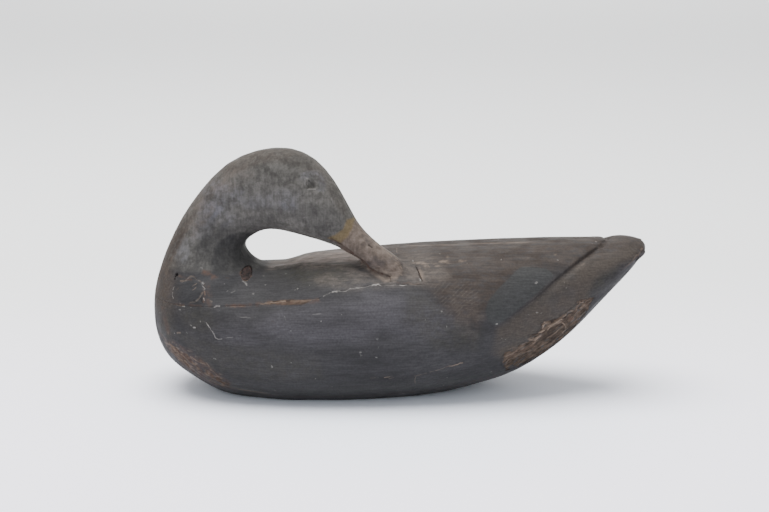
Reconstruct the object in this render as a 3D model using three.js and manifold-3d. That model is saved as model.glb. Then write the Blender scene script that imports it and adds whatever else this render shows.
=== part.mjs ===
// A preening black duck decoy: a boat-shaped wooden body with a raised tail, and one carved
// piece for the head, neck and bill, whose block is let into the front of the body's back.
// Millimetres. +X runs from breast to tail, +Z is up, and the bill lies on the side towards -Y.
// The origin is the middle of the decoy's length, on the surface that it stands on.
import * as THREE from "three";
import { LoftGeometry } from "three/addons/geometries/LoftGeometry.js";
import { mergeVertices } from "three/addons/utils/BufferGeometryUtils.js";
import Module from "manifold-3d";

const wasm = await Module();
wasm.setup();

// Driving dimensions
const fitGap = 0.3; // left between pieces that touch
const reach = 300; // how far a cutter runs past the decoy
const eyeSocket = { x: -70.5, z: 173, headMiddleY: -16.5, headHalfWidth: 21, radius: 3.8, depth: 2.6 };
const plug = { x: -124, y: -30, z: 99, radius: 3.2, depth: 12 };
const stepsPerHullSection = 3;
const stepsPerRib = 2;
const pointsRoundHull = 40;
const pointsRoundNeck = 28;

// The hull's sections from breast to tail: the keel's and the back's heights on the centre line, the height
// where the hull is widest, half its width there, and how full the curves above and below that height are.
const hullSections = [
  { x: -200, keel: 61, back: 74, waist: 67, halfBeam: 8, above: 2, below: 2 },
  { x: -197, keel: 42, back: 87, waist: 65, halfBeam: 24, above: 2, below: 2 },
  { x: -187, keel: 25, back: 96, waist: 63, halfBeam: 43, above: 2.1, below: 2.1 },
  { x: -168, keel: 10, back: 100, waist: 60, halfBeam: 59, above: 2.2, below: 2.1 },
  { x: -140, keel: -4, back: 101, waist: 57, halfBeam: 71, above: 2.3, below: 2.1 },
  { x: -95, keel: -12, back: 101, waist: 55, halfBeam: 79, above: 2.3, below: 2.1 },
  { x: -70, keel: -12.3, back: 107.6, waist: 55, halfBeam: 80.6, above: 2.3, below: 2.1 },
  { x: -40, keel: -11.7, back: 111.4, waist: 55, halfBeam: 81, above: 2.3, below: 2.1 },
  { x: 10, keel: -7, back: 116.4, waist: 58, halfBeam: 78, above: 2.2, below: 2.1 },
  { x: 55, keel: 1, back: 119.3, waist: 64, halfBeam: 71, above: 2.1, below: 2 },
  { x: 95, keel: 14, back: 121.6, waist: 73, halfBeam: 61, above: 2, below: 2 },
  { x: 130, keel: 37, back: 123.1, waist: 84, halfBeam: 50, above: 1.9, below: 2 },
  { x: 160, keel: 66.5, back: 123.6, waist: 95, halfBeam: 39, above: 1.8, below: 1.7 },
  { x: 182, keel: 91, back: 125, waist: 105, halfBeam: 29, above: 1.7, below: 1.5 },
  { x: 195, keel: 107, back: 122.2, waist: 112, halfBeam: 17, above: 1.7, below: 1.5 },
  { x: 200, keel: 114, back: 118, waist: 116, halfBeam: 5, above: 1.8, below: 1.6 },
];

// The ribs of the neck, head and bill, from the breast to the bill's tip. Each runs from its inner end,
// on the throat, to its outer end, on the nape and crown, is centred at y and is halfWidth wide to each side.
const neckRibs = [
  { inner: [-92, 84], outer: [-190, 58], y: 0, halfWidth: 62, fullness: 2.1 },
  { inner: [-103, 96], outer: [-199.5, 71], y: 0, halfWidth: 57, fullness: 2.1 },
  { inner: [-113, 102.5], outer: [-198.8, 84.2], y: 0, halfWidth: 47, fullness: 2.1 },
  { inner: [-120, 107.5], outer: [-194.3, 100.6], y: 0, halfWidth: 36, fullness: 2.2 },
  { inner: [-125, 115], outer: [-187, 119], y: 0, halfWidth: 28.5, fullness: 2.3 },
  { inner: [-125, 120.5], outer: [-176.3, 139.9], y: -1, halfWidth: 24.5, fullness: 2.4 },
  { inner: [-121.5, 124.8], outer: [-160.5, 162.2], y: -3, halfWidth: 23, fullness: 2.5 },
  { inner: [-116.4, 128.4], outer: [-138.8, 184.7], y: -6, halfWidth: 22.5, fullness: 2.5 },
  { inner: [-111.1, 131.4], outer: [-113.7, 196.2], y: -9, halfWidth: 22.5, fullness: 2.5 },
  { inner: [-104.4, 133.2], outer: [-87.6, 198.4], y: -13, halfWidth: 22.5, fullness: 2.5 },
  { inner: [-96.1, 133.4], outer: [-67.2, 190], y: -17, halfWidth: 22, fullness: 2.4 },
  { inner: [-83.9, 131.4], outer: [-52.8, 174.4], y: -21, halfWidth: 20, fullness: 2.3 },
  { inner: [-71, 128.3], outer: [-43.1, 158.4], y: -25, halfWidth: 16.5, fullness: 2.2 },
  { inner: [-62, 126], outer: [-37.6, 149], y: -27, halfWidth: 14, fullness: 2.2 },
  { inner: [-54, 123.4], outer: [-33.5, 142.1], y: -29, halfWidth: 12.5, fullness: 2.2 },
  { inner: [-43.5, 119.3], outer: [-25.5, 132.8], y: -33, halfWidth: 12, fullness: 2.2 },
  { inner: [-27.7, 110.6], outer: [-13.6, 122.6], y: -37, halfWidth: 12.5, fullness: 2.2 },
  { inner: [-12, 102.6], outer: [-1, 114.4], y: -41, halfWidth: 12, fullness: 2.2 },
  { inner: [-3, 101.5], outer: [4, 107.5], y: -43, halfWidth: 9, fullness: 2 },
];

// The cut that parts the wings from the tail, from the ridge forward and down one side: the place between
// two hull sections, the angle round the hull from its ridge, the cut's depth and half its width.
const wingCut = [
  { place: 12.35, fromRidge: 0, depth: 4, halfWidth: 6.5 },
  { place: 12.32, fromRidge: 0.36, depth: 3, halfWidth: 3 },
  { place: 11.44, fromRidge: 0.82, depth: 2.6, halfWidth: 1.9 },
  { place: 10.7, fromRidge: 1.21, depth: 2.4, halfWidth: 1.8 },
  { place: 10.04, fromRidge: 1.52, depth: 1.8, halfWidth: 1.5 },
  { place: 9.48, fromRidge: 1.64, depth: 0.8, halfWidth: 1 },
];

// The seam under the neck block from the side, front to rear, as [x, z]
const seamRise = [
  [-reach, 69.5], [-190, 77.8], [-62, 87.5], [-50, 92.5], [-31, 96.2], [-15, 98], [reach, 100],
];
// The block's rear end from above, as [distance from the centre line, x]
const blockEnd = [[0, 9], [32, 9.3], [57, 16.3], [reach, 84]];

// Values at a place between two rows of a table, on a smooth curve through all its rows
function smoothTable(rows) {
  const places = rows.map((row, index) => index);
  const curve = new THREE.CubicInterpolant(places, rows.flat(), rows[0].length);
  return (place) => Array.from(curve.evaluate(place));
}

const hullCurve = smoothTable(
  hullSections.map((s) => [s.x, s.keel, s.back, s.waist, s.halfBeam, s.above, s.below]),
);

// A point on the hull: angle 0 is on the side towards +Y, a quarter turn is the back's centre line
function hullPoint(place, angle) {
  const [x, keel, back, waist, halfBeam, above, below] = hullCurve(place);
  const fullness = Math.sin(angle) > 0 ? above : below;
  const across = Math.sign(Math.cos(angle)) * Math.abs(Math.cos(angle)) ** (2 / fullness);
  const up = Math.abs(Math.sin(angle)) ** (2 / fullness);
  const height = Math.sin(angle) > 0 ? waist + (back - waist) * up : waist - (waist - keel) * up;
  return new THREE.Vector3(x, halfBeam * across, height);
}

const ribCurve = smoothTable(neckRibs.map((r) => [...r.inner, ...r.outer, r.y, r.halfWidth, r.fullness]));

// A point on the neck, head and bill: angle 0 is on the side towards +Y, a quarter turn is at the outer end
function neckPoint(place, angle) {
  const [innerX, innerZ, outerX, outerZ, y, halfWidth, fullness] = ribCurve(place);
  const across = Math.sign(Math.cos(angle)) * Math.abs(Math.cos(angle)) ** (2 / fullness);
  const out = Math.sign(Math.sin(angle)) * Math.abs(Math.sin(angle)) ** (2 / fullness);
  const t = (1 + out) / 2;
  return new THREE.Vector3(
    innerX + (outerX - innerX) * t,
    y + halfWidth * across,
    innerZ + (outerZ - innerZ) * t,
  );
}

// A closed loft of rings, stepsPerRow rings to each row of the table behind pointAt
function loft(pointAt, rowCount, stepsPerRow, pointsAround) {
  const rings = [];
  const last = (rowCount - 1) * stepsPerRow;
  for (let step = 0; step <= last; step++) {
    const ring = [];
    for (let index = 0; index < pointsAround; index++) {
      ring.push(pointAt(step / stepsPerRow, (2 * Math.PI * index) / pointsAround));
    }
    rings.push(ring);
  }
  return new LoftGeometry(rings, { closed: true, capStart: true, capEnd: true });
}

// A closed geometry as a solid that can be joined and cut
function solid(geometry) {
  const bare = new THREE.BufferGeometry();
  bare.setAttribute("position", geometry.attributes.position);
  bare.setIndex(geometry.index);
  const merged = mergeVertices(bare, 1e-4);
  const mesh = new wasm.Mesh({
    numProp: 3,
    vertProperties: Float32Array.from(merged.attributes.position.array),
    triVerts: Uint32Array.from(merged.index.array),
  });
  return new wasm.Manifold(mesh);
}

// A named mesh of a finished solid
function piece(name, shape, material) {
  const { vertProperties, triVerts } = shape.getMesh();
  const geometry = new THREE.BufferGeometry();
  geometry.setAttribute("position", new THREE.BufferAttribute(Float32Array.from(vertProperties), 3));
  geometry.setIndex(new THREE.BufferAttribute(Uint32Array.from(triVerts), 1));
  geometry.computeVertexNormals();
  const mesh = new THREE.Mesh(geometry, material);
  mesh.name = name;
  return mesh;
}

// Everything over the seam and in front of the block's rear end, grown by some gap
function blockCutter(gap) {
  const side = seamRise.map(([x, z]) => new THREE.Vector2(x, z - gap));
  side.push(new THREE.Vector2(reach, reach), new THREE.Vector2(-reach, reach));
  const over = new THREE.ExtrudeGeometry(new THREE.Shape(side), { depth: 2 * reach, bevelEnabled: false });
  over.rotateX(Math.PI / 2);
  over.translate(0, reach, 0);
  const right = blockEnd.map(([away, x]) => new THREE.Vector2(x + gap, -away));
  const left = blockEnd.slice(1).map(([away, x]) => new THREE.Vector2(x + gap, away));
  const plan = [...right.reverse(), ...left];
  plan.push(new THREE.Vector2(-reach, reach), new THREE.Vector2(-reach, -reach));
  const front = new THREE.ExtrudeGeometry(new THREE.Shape(plan), { depth: 2 * reach, bevelEnabled: false });
  return solid(over).intersect(solid(front));
}

// The neck plug, or with a gap the hole that it sits in
function plugShape(gap) {
  const radius = plug.radius + gap;
  const sides = 20;
  const geometry = new THREE.CylinderGeometry(radius, radius, 2 * (plug.depth + gap), sides);
  geometry.translate(plug.x, plug.y, plug.z);
  return solid(geometry);
}

// The direction straight out of the hull at a place and angle
function hullNormal(place, angle) {
  const step = 0.01;
  const along = hullPoint(place + step, angle).sub(hullPoint(place - step, angle));
  const around = hullPoint(place, angle + step).sub(hullPoint(place, angle - step));
  return around.cross(along).normalize();
}

// A V-shaped cutter that follows the wings' hind edges over the back, from one side to the other
function wingCutter() {
  const cutCurve = smoothTable(wingCut.map((c) => [c.place, c.fromRidge, c.depth, c.halfWidth]));
  const stepsPerSide = 15;
  const proud = 3; // how far the cutter's open top stands over the wood
  const middleLine = [];
  for (let step = -stepsPerSide; step <= stepsPerSide; step++) {
    const fromMiddle = Math.abs(step) / stepsPerSide;
    const [place, fromRidge, depth, halfWidth] = cutCurve(fromMiddle * (wingCut.length - 1));
    const angle = Math.PI / 2 + Math.sign(step) * fromRidge;
    middleLine.push({ at: hullPoint(place, angle), out: hullNormal(place, angle), depth, halfWidth });
  }
  const sections = middleLine.map((here, index) => {
    const before = middleLine[Math.max(index - 1, 0)].at;
    const after = middleLine[Math.min(index + 1, middleLine.length - 1)].at;
    const side = after.clone().sub(before).cross(here.out).normalize();
    const spread = (here.halfWidth * (here.depth + proud)) / here.depth;
    const top = here.at.clone().addScaledVector(here.out, proud);
    return [
      here.at.clone().addScaledVector(here.out, -here.depth),
      top.clone().addScaledVector(side, -spread),
      top.clone().addScaledVector(side, spread),
    ];
  });
  return solid(new LoftGeometry(sections, { closed: true, capStart: true, capEnd: true }));
}

// A round eye socket on each side of the head
function eyeCutters() {
  const { x, z, headMiddleY, headHalfWidth, radius, depth } = eyeSocket;
  const ballRadius = (radius ** 2 + depth ** 2) / (2 * depth);
  return [-1, 1].map((side) => {
    const ball = new THREE.SphereGeometry(ballRadius, 16, 12);
    ball.translate(x, headMiddleY + side * (headHalfWidth - depth + ballRadius), z);
    return solid(ball);
  });
}

const ground = new THREE.BoxGeometry(2 * reach, 2 * reach, reach);
ground.translate(0, 0, -reach / 2);
const roundHull = solid(loft(hullPoint, hullSections.length, stepsPerHullSection, pointsRoundHull));
const hull = roundHull.subtract(solid(ground)).subtract(wingCutter());
const neck = solid(loft(neckPoint, neckRibs.length, stepsPerRib, pointsRoundNeck));
const carving = hull.add(neck);

let head = carving.intersect(blockCutter(0)).subtract(plugShape(fitGap));
for (const socket of eyeCutters()) {
  head = head.subtract(socket);
}

const darkPaint = new THREE.MeshStandardMaterial({ color: 0x3c3b3b, roughness: 0.75, metalness: 0 });
const wornPaint = new THREE.MeshStandardMaterial({ color: 0x5a5149, roughness: 0.8, metalness: 0 });
const bareWood = new THREE.MeshStandardMaterial({ color: 0x4a3029, roughness: 0.8, metalness: 0 });

const decoy = new THREE.Group();
decoy.add(piece("body", carving.subtract(blockCutter(fitGap)), darkPaint));
decoy.add(piece("head", head, wornPaint));
decoy.add(piece("neck_plug", plugShape(0).intersect(carving), bareWood));

export default decoy;
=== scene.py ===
import math

import bpy
import numpy as np
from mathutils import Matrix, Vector
from mathutils.bvhtree import BVHTree


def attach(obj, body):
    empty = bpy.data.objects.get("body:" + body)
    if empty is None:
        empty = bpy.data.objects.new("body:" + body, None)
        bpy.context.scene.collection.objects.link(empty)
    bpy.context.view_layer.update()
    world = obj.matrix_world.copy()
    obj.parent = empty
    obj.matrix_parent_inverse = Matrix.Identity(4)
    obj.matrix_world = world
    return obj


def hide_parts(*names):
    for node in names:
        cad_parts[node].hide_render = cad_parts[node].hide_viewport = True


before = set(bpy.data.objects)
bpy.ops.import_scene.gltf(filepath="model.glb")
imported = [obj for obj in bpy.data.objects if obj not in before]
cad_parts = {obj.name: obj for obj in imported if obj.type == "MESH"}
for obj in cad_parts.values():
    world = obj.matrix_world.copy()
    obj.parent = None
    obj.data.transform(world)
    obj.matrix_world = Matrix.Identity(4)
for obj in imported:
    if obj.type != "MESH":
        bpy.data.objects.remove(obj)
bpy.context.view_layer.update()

# The photo's view of the decoy, and the sizes that its camera is worked out from
view = {
    "elevation": math.radians(12),
    "distance": 1.5,
    "aim": (-0.0122, 0.0, 0.1078),
    "pixelsPerMetre": 1227.5,  # at the aim point
    "imageWidth": 769,
    "sensor": 36.0,
}


def placed(name, data, place, way):
    # puts a camera or a lamp into the scene, looking along a direction
    made = bpy.data.objects.new(name, data)
    bpy.context.scene.collection.objects.link(made)
    made.location = place
    made.rotation_mode = "QUATERNION"
    made.rotation_quaternion = way.to_track_quat("-Z", "Y")
    return made


def setCamera():
    back = Vector((0, -math.cos(view["elevation"]), math.sin(view["elevation"])))
    data = bpy.data.cameras.new("camera")
    data.sensor_width = view["sensor"]
    data.lens = view["pixelsPerMetre"] * view["distance"] / view["imageWidth"] * view["sensor"]
    place = Vector(view["aim"]) + back * view["distance"]
    bpy.context.scene.camera = placed("camera", data, place, -back)


setCamera()
print("camera set")


# Selecting and copying

def onlySelect(piece):
    bpy.ops.object.select_all(action="DESELECT")
    piece.select_set(True)
    bpy.context.view_layer.objects.active = piece


def openUp(piece):
    # the piece in edit mode, selected all over
    onlySelect(piece)
    bpy.ops.object.mode_set(mode="EDIT")
    bpy.ops.mesh.select_all(action="SELECT")


def cleaned(piece):
    # merges what a boolean leaves double or without area, and stays in edit mode
    openUp(piece)
    bpy.ops.mesh.remove_doubles(threshold=0.00002)
    bpy.ops.mesh.dissolve_degenerate(threshold=0.00002)


def splitWide():
    # makes triangles of the faces with more than four corners, and leaves edit mode
    bpy.ops.mesh.select_all(action="DESELECT")
    bpy.ops.mesh.select_mode(type="FACE")
    bpy.ops.mesh.select_face_by_sides(number=4, type="GREATER")
    bpy.ops.mesh.quads_convert_to_tris()
    bpy.ops.object.mode_set(mode="OBJECT")


def halved(piece, chosen):
    # cuts the chosen faces once each way, and stays in edit mode
    openUp(piece)
    bpy.ops.mesh.select_mode(type="FACE")
    bpy.ops.mesh.select_all(action="DESELECT")
    bpy.ops.object.mode_set(mode="OBJECT")
    piece.data.polygons.foreach_set("select", chosen)
    bpy.ops.object.mode_set(mode="EDIT")
    bpy.ops.mesh.subdivide(number_cuts=1)


def applied(piece, kind, **settings):
    onlySelect(piece)
    modifier = piece.modifiers.new(kind.lower(), kind)
    for name, value in settings.items():
        setattr(modifier, name, value)
    bpy.ops.object.modifier_apply(modifier=modifier.name)


def cutWith(piece, tool, operation):
    applied(piece, "BOOLEAN", operation=operation, solver="EXACT", object=tool)


def twinOf(piece, name):
    twin = bpy.data.objects.new(name, piece.data.copy())
    bpy.context.scene.collection.objects.link(twin)
    return twin


def copyOfNodes(names, newName):
    copies = [twinOf(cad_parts[name], newName) for name in names]
    for twin in copies:
        openUp(twin)
        bpy.ops.mesh.remove_doubles(threshold=0.00001)
        bpy.ops.object.mode_set(mode="OBJECT")
    onlySelect(copies[0])
    for twin in copies[1:]:
        twin.select_set(True)
    bpy.ops.object.join()
    copies[0].data.materials.clear()
    return copies[0]


# Points of a mesh as millimetres, which all the carving below is written in

def readOut(items, field, width=3, kind=np.float32):
    flat = np.empty(len(items) * width, kind)
    items.foreach_get(field, flat)
    return flat.reshape(-1, width)


def pointsOf(piece):
    return readOut(piece.data.vertices, "co").astype(float) * 1000


def centresOf(piece):
    return readOut(piece.data.polygons, "center").astype(float) * 1000


def edgesOf(piece):
    return readOut(piece.data.edges, "vertices", 2, np.int32)


def movePoints(piece, points):
    piece.data.vertices.foreach_set("co", (points / 1000).astype(np.float32).ravel())
    piece.data.update()


def neighbourMean(points, edges):
    count = np.bincount(edges.ravel(), minlength=len(points))[:, None]
    total = np.stack([
        np.bincount(edges[:, 0], points[edges[:, 1], axis], len(points))
        + np.bincount(edges[:, 1], points[edges[:, 0], axis], len(points))
        for axis in range(3)
    ], 1)
    return total / np.maximum(count, 1)


def evened(piece, rounds, amount=1.0, keepSize=True):
    # planes away what is finer than the rounds reach; with keepSize it doesn't shrink the shape
    points, edges = pointsOf(piece), edgesOf(piece)
    share = np.broadcast_to(amount, len(points))[:, None]
    for _ in range(rounds):
        points += 0.6 * share * (neighbourMean(points, edges) - points)
        if keepSize:
            points -= 0.62 * share * (neighbourMean(points, edges) - points)
    movePoints(piece, points)


def softStep(value, low, high):
    t = np.clip((value - low) / (high - low), 0, 1)
    return t * t * (3 - 2 * t)


def fade(value, full, gone):
    return 1 - softStep(value, full, gone)


def mixedBits(x, y, z):
    # a whole number from 0 to 20000 for each cell of a grid, always the same one
    mixed = x * 73856093 ^ y * 19349663 ^ z * 83492791
    return ((mixed ^ (mixed >> 13)) * 1274126177 & 0x7FFFFFFF) % 20001


def lumps(points, size, seed=0):
    # smooth noise of about -1 to 1, with lumps of that size in millimetres, or one size for each axis
    spot = points / np.asarray(size, float) + seed * 17.31
    cell = np.floor(spot).astype(np.int64)
    part = spot - cell
    part = part * part * (3 - 2 * part)
    total = np.zeros(len(points))
    for dx, dy, dz in np.ndindex(2, 2, 2):
        height = mixedBits(cell[:, 0] + dx, cell[:, 1] + dy, cell[:, 2] + dz) / 10000 - 1
        weight = np.abs(1 - dx - part[:, 0]) * np.abs(1 - dy - part[:, 1]) * np.abs(1 - dz - part[:, 2])
        total += weight * height
    return total


def distanceToLine(points, line, axes=(0, 1, 2)):
    # distance of every point to a line of corners, seen along the axis that is left out
    flat = points[:, axes]
    corners = np.asarray(line, float)
    best = np.full(len(points), 1e9)
    for start, end in zip(corners[:-1], corners[1:]):
        step = end - start
        t = np.clip((flat - start) @ step / max(step @ step, 1e-9), 0, 1)
        best = np.minimum(best, np.linalg.norm(flat - start - t[:, None] * step, axis=1))
    return best


def insideOutline(points, outline, axes=(0, 2)):
    # signed distance to a closed outline, seen along the axis that is left out: over 0 is inside
    across, up = points[:, axes].T
    corners = list(outline) + [outline[0]]
    away = distanceToLine(points, corners, axes)
    inside = np.zeros(len(points), bool)
    for (x1, z1), (x2, z2) in zip(corners[:-1], corners[1:]):
        rise = z2 - z1 if z2 != z1 else 1e-9
        inside ^= ((z1 > up) != (z2 > up)) & (across < (x2 - x1) * (up - z1) / rise + x1)
    return np.where(inside, away, -away)


# One carved form of the whole decoy, before the seam parts it

carving = {
    "voxel": 0.00195,
    "overlap": 0.00035,  # closes the seam's gap for the remesh
    "planing": 22,
    "neckRoot": {"centre": (-152, -6, 97), "reach": (46, 72, 24), "rounds": 55},
    "billRoot": {"centre": (-12, -46, 104), "reach": (26, 16, 12), "rounds": 14},
    "knifeLumps": 0.35,
    "knifeSize": (34, 20, 24),
    "saddle": {"x": (-108, -102, -96, -88, -78, -64), "lift": (0, -1.3, 0, 0.9, 0.8, 0)},
}


def inBall(points, centre, reach):
    # 1 in the middle of a stretched ball, fading to 0 at its edge
    return fade(np.linalg.norm((points - centre) / np.asarray(reach, float), axis=1), 0.55, 1.0)


def carvedForm():
    form = copyOfNodes(["body", "head", "neck_plug"], "form")
    applied(form, "DISPLACE", strength=carving["overlap"], mid_level=0.0)
    applied(form, "REMESH", mode="VOXEL", voxel_size=carving["voxel"], adaptivity=0.0)
    applied(form, "DISPLACE", strength=-carving["overlap"], mid_level=0.0)
    evened(form, carving["planing"])
    for root in (carving["neckRoot"], carving["billRoot"]):
        share = inBall(pointsOf(form), root["centre"], root["reach"])
        evened(form, root["rounds"], share, keepSize=False)
    points = pointsOf(form)
    saddle = np.interp(points[:, 0], carving["saddle"]["x"], carving["saddle"]["lift"])
    points[:, 2] += saddle * softStep(points[:, 2], 98, 102) * fade(points[:, 2], 112, 118)
    hand = lumps(points, carving["knifeSize"], 3) * carving["knifeLumps"]
    hand *= softStep(points[:, 2], 1, 8)  # the planed underside stays flat
    normals = readOut(form.data.vertex_normals, "vector").astype(float)
    movePoints(form, points + normals * hand[:, None])
    onlySelect(form)
    bpy.ops.object.shade_smooth()
    return form


form = carvedForm()
skin = BVHTree.FromObject(form, bpy.context.evaluated_depsgraph_get())
print("carved form", len(form.data.vertices))


# The seam between the body and the neck block

seam = {
    "side": [
        (-260, 78.9), (-192, 78.7), (-180, 78.3), (-164, 79.0), (-143, 80.6), (-126, 81.6), (-105, 82.9),
        (-86, 85.0), (-64, 88.0), (-53, 92.4), (-44, 93.5), (-37, 94.7), (-30, 96.0), (-22, 97.0), (5, 97.8),
        (60, 98.2),
    ],  # x, z
    "rearEnd": [(0, 8.4), (20, 8.4), (35, 10.5), (43, 13.0), (51, 15.4), (58, 17.5), (90, 26)],  # out, x
    "farPast": 260,
}


def prism(outline, axis, low, high, name):
    # an outline drawn square to the Y or the Z axis and drawn out along it, in millimetres
    bpy.ops.object.select_all(action="DESELECT")
    bpy.ops.mesh.primitive_circle_add(vertices=len(outline), radius=0.1, fill_type="NGON")
    tool = bpy.context.object
    tool.name = name
    points = np.full((len(outline), 3), low, float)
    points[:, (0, 3 - axis)] = outline
    movePoints(tool, points)
    drawn = [0, 0, 0]
    drawn[axis] = (high - low) / 1000
    openUp(tool)
    bpy.ops.mesh.extrude_region_move(TRANSFORM_OT_translate={"value": drawn})
    bpy.ops.mesh.select_all(action="SELECT")
    bpy.ops.mesh.normals_make_consistent(inside=False)
    bpy.ops.object.mode_set(mode="OBJECT")
    return tool


def blockTool():
    far = seam["farPast"]
    over = prism(seam["side"] + [(60, far), (-far, far)], 1, -120, 120, "over_seam")
    rear = [(x, -out) for out, x in reversed(seam["rearEnd"])] + [(x, out) for out, x in seam["rearEnd"][1:]]
    front = prism(rear + [(-far, 90), (-far, -90)], 2, 20, far, "before_rear_end")
    cutWith(over, front, "INTERSECT")
    bpy.data.objects.remove(front)
    return over


def partedBy(tool, operation, name):
    piece = twinOf(form, name)
    cutWith(piece, tool, operation)
    cleaned(piece)
    splitWide()
    return piece


tool = blockTool()
decoyBody = partedBy(tool, "DIFFERENCE", "decoy_body")
decoyHead = partedBy(tool, "INTERSECT", "decoy_head")
bpy.data.objects.remove(tool)
print("parted", len(decoyBody.data.polygons), len(decoyHead.data.polygons))


# The hole for the neck plug, bored along the Y axis

plug = {
    "mouth": (-122.5, -32, 100.2),
    "radius": 4.1,
    "holeRadius": 4.3,
    "wornRadius": 5.4,
    "cuts": 3,  # how often the shown end is made finer
    "outerEnd": -60,
    "innerEnd": -16,
}


def rod(name, radius, ends, sides):
    bpy.ops.object.select_all(action="DESELECT")
    x, _, z = plug["mouth"]
    bpy.ops.mesh.primitive_cylinder_add(
        vertices=sides, radius=radius / 1000, depth=abs(ends[1] - ends[0]) / 1000,
        location=(x / 1000, sum(ends) / 2000, z / 1000), rotation=(math.radians(90), 0, 0),
    )
    bpy.ops.object.transform_apply(location=True, rotation=True, scale=True)
    made = bpy.context.object
    made.name = name
    return made


def fromPlug(points):
    return np.hypot(points[:, 0] - plug["mouth"][0], points[:, 2] - plug["mouth"][2])


def drilled(piece):
    hole = rod("hole", plug["holeRadius"], (plug["innerEnd"] + 0.5, plug["outerEnd"]), 48)
    cutWith(piece, hole, "DIFFERENCE")
    bpy.data.objects.remove(hole)
    openUp(piece)
    splitWide()


drilled(decoyHead)


# Where the surface is carved and worn. Lines and outlines seen from the side are x and z, in millimetres

marks = {
    "wingLine": [
        (170, 0, 119), (156, -20, 116), (144, -30, 110), (133, -39, 104), (123, -46, 98), (114, -52, 91),
        (105, -56, 84), (91, -62, 75), (83, -64, 68), (75, -66, 64),
    ],
    "shoulder": [
        (-112, -2, 99), (-93, -12, 101), (-80, -19, 102), (-59, -31, 105), (-47, -36, 106), (-36, -40, 106),
    ],
    "tailRim": [(196, -13, 116), (188, -23, 110), (178, -31, 103), (168, -36, 95)],
    "bottomEdge": [(-141, -51, 14), (-127, -52, 10), (-112, -54, 8), (-92, -55, 6)],
    "sliver": [
        (-112, 82.8), (-103, 85.2), (-86, 87), (-72, 88.3), (-60, 89.8), (-66, 87.4), (-74, 83.6),
        (-88, 82.2),
    ],
    "tailChip": [
        (83, 42), (88, 43), (95, 47), (102, 50), (103, 55), (108, 56), (111, 58), (112, 65), (116, 66.5),
        (121, 67), (127, 69), (134, 74), (139, 76), (141, 80.5), (146, 82), (155, 82), (152, 70), (140, 53),
        (128, 40), (115, 31), (101, 24), (86, 21), (81, 31),
    ],
    "chipHollow": [(113, 46), (126, 56)],
    "breast": [
        (-194, 52), (-188, 50), (-178, 50), (-166, 44), (-150, 32), (-133, 18), (-133, 6), (-150, 9),
        (-170, 20), (-186, 36),
    ],
    "backCrack": [
        (8.6, -24, 112.4), (10.5, -35, 109.5), (13.1, -43, 106.9), (15.4, -51, 103), (17.4, -57.5, 98.7),
    ],
    "knot": (-167, -46, 89),
    "knotSize": 12,
    "nailHoles": [(-178.1, -32, 99.2, 1.5), (-179.5, -33, 95.9, 0.9), (-179, -32.5, 97.6, 0.7)],
    "eye": (-70, 173.4),
    "eyeSize": 3.2,
    "mouth": [
        (-54.2, 130.3), (-48.6, 127.2), (-43, 123.6), (-37.5, 119.9), (-32.8, 115.9), (-28, 113.4),
        (-24.2, 108.2), (-18.6, 105.8), (-12.2, 104.4), (-7.5, 102.8),
    ],
    "underBill": [(-24, 106.4), (-18.5, 104), (-10.6, 102.6)],
    "nostril": [(-24.6, 126.1), (-22.1, 124.3)],
    "bill": [
        (-34, 146), (-40, 138), (-50, 126), (-32, 110), (-12, 99), (-3, 101), (2, 106), (0, 113), (-7, 119),
        (-18, 132),
    ],
    "tailGrain": 36,  # slope of the torn fibres, in degrees
    "breastGrain": -38,
    "billSide": -30,  # y, the bill lies on the near side of this
    "faceFrom": 150,  # z
}

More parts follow.
